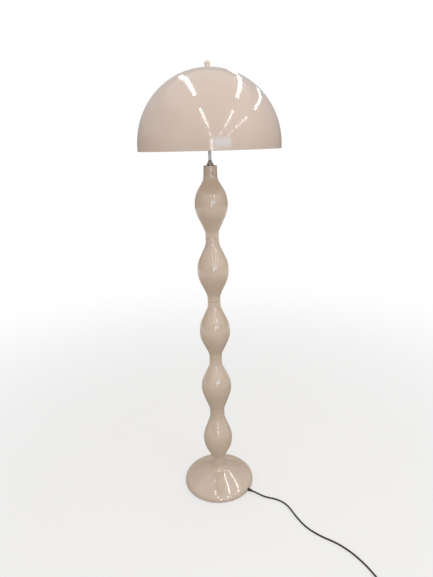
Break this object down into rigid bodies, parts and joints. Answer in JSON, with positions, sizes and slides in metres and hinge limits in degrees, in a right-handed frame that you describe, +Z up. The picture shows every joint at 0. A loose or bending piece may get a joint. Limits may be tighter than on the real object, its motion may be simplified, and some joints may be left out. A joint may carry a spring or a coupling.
{
  "type": "mushroom floor lamp",
  "caption": "Floor lamp with a thin domed shade on a column of stacked bulbous modules, a weighted dished base, bulbs under the dome, a screw-on finial and a lead with a foot switch.",
  "frame": {"origin": "on the floor under the lamp's centre line, at the middle of the base", "axes": "+Z up along the column, -Y towards the lamp's front as pictured, +X to the right seen from the front"},
  "size_m": [0.777, 0.988, 1.6304],
  "materials": {
    "body_shells": "high gloss, opaque",
    "shade_acrylic": "high gloss, nearly opaque",
    "finial": "gloss",
    "chromed": "polished",
    "steel": "zinc plated",
    "weight": "painted casting",
    "cover": "satin black",
    "felt": "felt",
    "dark_rubber": "soft",
    "lead_sheath": "smooth sheath",
    "black_moulding": "fine satin",
    "switch_moulding": "smooth",
    "hub_metal": "cream enamel",
    "holder_moulding": "smooth",
    "brass_parts": "bright",
    "cap_metal": "spun",
    "bulb_glass": "frosted inside"
  },
  "bodies": {
    "stand": {"base_cover": "cover", "base_shell": "body_shells", "base_spacer": "steel", "base_weight": "weight", "centre_contacts": "brass_parts", "clamp_screws": "steel", "collar_gasket": "dark_rubber", "column_module_1": "body_shells", "column_module_2": "body_shells", "column_module_3": "body_shells", "column_module_4": "body_shells", "column_module_5": "body_shells", "column_rod": "steel", "cone_nut": "chromed", "cord_bush": "dark_rubber", "cord_clamp": "black_moulding", "cover_screws": "steel", "disc_nut": "steel", "felt_ring": "felt", "holder_nipples": "steel", "hub_nuts": "steel", "inner_lead": "lead_sheath", "lampholder_1": "holder_moulding", "lampholder_2": "holder_moulding", "lampholder_3": "holder_moulding", "lampholder_hub": "hub_metal", "lead_coil": "lead_sheath", "lead_run": "lead_sheath", "pin_sleeves": "black_moulding", "plug_body": "black_moulding", "plug_pins": "brass_parts", "plug_sleeve": "dark_rubber", "rod_nut": "steel", "rod_washer": "steel", "shade_disc": "steel", "shade_washer": "dark_rubber", "socket_shell_1": "brass_parts", "socket_shell_2": "brass_parts", "socket_shell_3": "brass_parts", "stem_tube": "chromed", "switch_base": "switch_moulding", "switch_block": "black_moulding", "switch_cover": "switch_moulding", "switch_screws": "steel", "switch_sleeve_in": "dark_rubber", "switch_sleeve_out": "dark_rubber", "top_collar": "body_shells"},
    "shade": {"shade": "shade_acrylic", "finial_washer": "holder_moulding"},
    "finial_insert": {"finial_insert": "brass_parts"},
    "finial_knob": {"finial_knob": "finial"},
    "bulb_1": {"bulb_cap_1": "cap_metal", "bulb_glass_1": "bulb_glass"},
    "bulb_2": {"bulb_cap_2": "cap_metal", "bulb_glass_2": "bulb_glass"},
    "bulb_3": {"bulb_cap_3": "cap_metal", "bulb_glass_3": "bulb_glass"},
    "switch_button": {"switch_button": "switch_moulding"}
  },
  "joints": [
    {"name": "shade_lift", "type": "slide", "parent": "stand", "child": "shade", "axis": [0, 0, 1], "range_m": [0, 0.3]},
    {"name": "finial_rise", "type": "slide", "parent": "shade", "child": "finial_insert", "axis": [0, 0, 1], "range_m": [0, 0.009]},
    {"name": "finial_turn", "type": "hinge", "parent": "finial_insert", "child": "finial_knob", "pos_m": [0, 0, 1.62], "axis": [0, 0, 1], "range_deg": [0, 3240]},
    {"name": "bulb_1_withdraw", "type": "slide", "parent": "stand", "child": "bulb_1", "axis": [0, 0.9063, 0.4226], "range_m": [0, 0.032]},
    {"name": "bulb_2_withdraw", "type": "slide", "parent": "stand", "child": "bulb_2", "axis": [-0.7849, -0.4532, 0.4226], "range_m": [0, 0.032]},
    {"name": "bulb_3_withdraw", "type": "slide", "parent": "stand", "child": "bulb_3", "axis": [0.7849, -0.4532, 0.4226], "range_m": [0, 0.032]},
    {"name": "switch_press", "type": "slide", "parent": "stand", "child": "switch_button", "axis": [0, 0, -1], "range_m": [0, 0.0035], "stiffness_N_per_m": 800, "springref_m": -0.002}
  ],
  "couplings": [
    {"joint": "finial_turn", "follows": "finial_rise", "rad_per_m": 6283.2}
  ]
}
